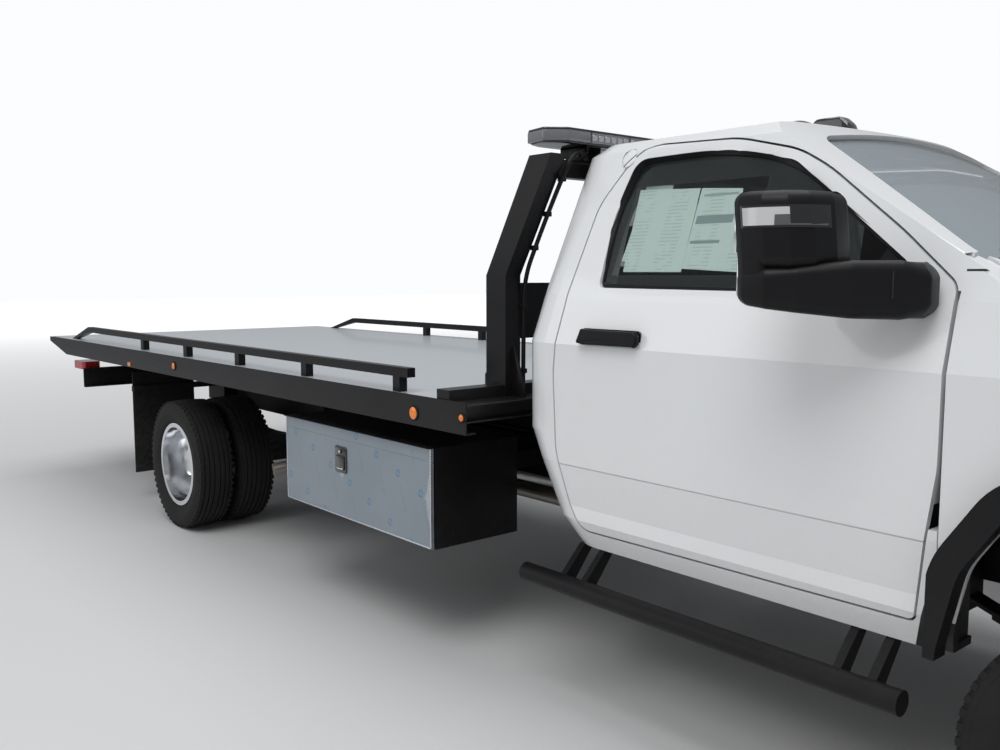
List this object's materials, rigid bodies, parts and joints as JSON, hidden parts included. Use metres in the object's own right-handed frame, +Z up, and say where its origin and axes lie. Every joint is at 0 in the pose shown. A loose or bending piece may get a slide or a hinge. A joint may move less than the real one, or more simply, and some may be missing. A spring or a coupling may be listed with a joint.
{
  "type": "flatbed tow truck",
  "caption": "Two-seat cab truck with a steel deck that tilts and slides back to the ground, side rails, headboard, winch, toolboxes and dual rear wheels.",
  "frame": {"origin": "on the ground below the middle of the whole vehicle", "axes": "+X forward, +Y to the vehicle's left, +Z up"},
  "size_m": [8.66, 2.66, 2.2],
  "materials": {
    "body_white": "smooth gloss white",
    "frame_black": "satin black",
    "deck_black": "gloss black",
    "deck_plate": "smooth light grey",
    "axle_metal": "dark painted casting",
    "spring_steel": "dark satin",
    "silver_metal": "cast, plain",
    "exhaust_metal": "dull",
    "tank_plastic": "moulded black",
    "wheel_aluminium": "polished",
    "tyre": "moulded tread",
    "window_glass": "tinted",
    "black_plastic": "fine grain",
    "grille_black": "gloss",
    "lamp_clear": "clear moulded lens",
    "lamp_smoked": "smoked lens",
    "lamp_red": "red lens",
    "beacon": "clear modules under a black top",
    "bumper_black": "satin black",
    "dash_plastic": "grained",
    "seat_cloth": "woven grey",
    "seat_frame": "black",
    "chrome_rod": "ground and plated",
    "box_door": "bright sheet under a pale film",
    "rubber_black": "matte sheet"
  },
  "bodies": {
    "chassis": {"frame_rails": "frame_black", "front_axle": "axle_metal", "rear_axle": "axle_metal", "leaf_springs": "spring_steel", "driveline": "silver_metal", "fuel_tank": "tank_plastic", "exhaust": "exhaust_metal", "cab_shell": "body_white", "cab_glass": "window_glass", "front_fenders": "body_white", "fender_flares": "black_plastic", "front_fascia": "body_white", "headlamps": "lamp_clear", "grille": "grille_black", "front_bumper": "bumper_black", "dashboard": "dash_plastic", "steering_wheel": "dash_plastic", "seat_bases": "seat_frame", "seat_cushions": "seat_cloth", "step_bars": "black_plastic", "toolboxes": "deck_black", "mud_flaps": "rubber_black", "roof_lamps": "lamp_smoked"},
    "hood": {"hood": "body_white"},
    "right_door": {"door_right": "body_white", "door_glass_right": "window_glass", "door_fittings_right": "black_plastic"},
    "left_door": {"door_left": "body_white", "door_glass_left": "window_glass", "door_fittings_left": "black_plastic"},
    "right_toolbox_door": {"toolbox_door_right": "box_door"},
    "left_toolbox_door": {"toolbox_door_left": "box_door"},
    "left_knuckle": {"knuckle_left": "axle_metal"},
    "right_knuckle": {"knuckle_right": "axle_metal"},
    "left_front_wheel": {"front_tyre_left": "tyre", "front_wheel_left": "wheel_aluminium"},
    "right_front_wheel": {"front_tyre_right": "tyre", "front_wheel_right": "wheel_aluminium"},
    "left_rear_wheels": {"rear_tyres_left": "tyre", "rear_wheels_left": "wheel_aluminium"},
    "right_rear_wheels": {"rear_tyres_right": "tyre", "rear_wheels_right": "wheel_aluminium"},
    "tilting_frame": {"tilt_frame": "frame_black", "tail_lamps": "lamp_red"},
    "lift_barrel_pair": {"lift_barrels": "frame_black"},
    "lift_rod_pair": {"lift_rods": "chrome_rod"},
    "deck": {"deck_floor": "deck_plate", "side_channels": "deck_black", "side_rails": "deck_black", "headboard": "deck_black", "light_bar": "beacon", "winch": "frame_black"},
    "drum": {"winch_drum": "axle_metal"}
  },
  "joints": [
    {"name": "hood_hinge", "type": "hinge", "parent": "chassis", "child": "hood", "pos_m": [3.112, 0, 1.59], "axis": [0, -1, 0], "range_deg": [0, 55]},
    {"name": "right_door_hinge", "type": "hinge", "parent": "chassis", "child": "right_door", "pos_m": [2.846, -1, 1.1], "axis": [0, 0, 1], "range_deg": [0, 65]},
    {"name": "left_door_hinge", "type": "hinge", "parent": "chassis", "child": "left_door", "pos_m": [2.846, 1, 1.1], "axis": [0, 0, -1], "range_deg": [0, 65]},
    {"name": "right_toolbox_hinge", "type": "hinge", "parent": "chassis", "child": "right_toolbox_door", "pos_m": [0.2865, -1.185, 0.478], "axis": [1, 0, 0], "range_deg": [0, 92]},
    {"name": "left_toolbox_hinge", "type": "hinge", "parent": "chassis", "child": "left_toolbox_door", "pos_m": [0.2865, 1.185, 0.478], "axis": [-1, 0, 0], "range_deg": [0, 92]},
    {"name": "left_steer", "type": "hinge", "parent": "chassis", "child": "left_knuckle", "pos_m": [3.344, 0.8, 0.405], "axis": [0, 0, 1], "range_deg": [-35, 35]},
    {"name": "right_steer", "type": "hinge", "parent": "chassis", "child": "right_knuckle", "pos_m": [3.344, -0.8, 0.405], "axis": [0, 0, 1], "range_deg": [-35, 35]},
    {"name": "left_front_roll", "type": "hinge", "parent": "left_knuckle", "child": "left_front_wheel", "pos_m": [3.344, 0.935, 0.405], "axis": [0, 1, 0], "continuous": true},
    {"name": "right_front_roll", "type": "hinge", "parent": "right_knuckle", "child": "right_front_wheel", "pos_m": [3.344, -0.935, 0.405], "axis": [0, 1, 0], "continuous": true},
    {"name": "left_rear_roll", "type": "hinge", "parent": "chassis", "child": "left_rear_wheels", "pos_m": [-1.85, 0.937, 0.405], "axis": [0, 1, 0], "continuous": true},
    {"name": "right_rear_roll", "type": "hinge", "parent": "chassis", "child": "right_rear_wheels", "pos_m": [-1.85, -0.937, 0.405], "axis": [0, 1, 0], "continuous": true},
    {"name": "deck_tilt", "type": "hinge", "parent": "chassis", "child": "tilting_frame", "pos_m": [-2.93, 0, 0.79], "axis": [0, -1, 0], "range_deg": [0, 13]},
    {"name": "deck_slide", "type": "slide", "parent": "tilting_frame", "child": "deck", "axis": [-1, 0, 0], "range_m": [0, 3.23]},
    {"name": "lift_swing", "type": "hinge", "parent": "chassis", "child": "lift_barrel_pair", "pos_m": [-0.3, 0, 0.52], "axis": [0, 1, 0], "range_deg": [0, 17.95]},
    {"name": "lift_stroke", "type": "slide", "parent": "lift_barrel_pair", "child": "lift_rod_pair", "axis": [-0.8789, 0, 0.4771], "range_m": [0, 0.327]},
    {"name": "drum_turn", "type": "hinge", "parent": "deck", "child": "drum", "pos_m": [0.765, 0, 1.25], "axis": [0, 1, 0], "continuous": true}
  ],
  "couplings": [
    {"joint": "right_steer", "follows": "left_steer", "ratio": 1},
    {"joint": "lift_swing", "follows": "deck_tilt", "ratio": 1.3727},
    {"joint": "lift_stroke", "follows": "deck_tilt", "m_per_rad": 1.4322}
  ]
}
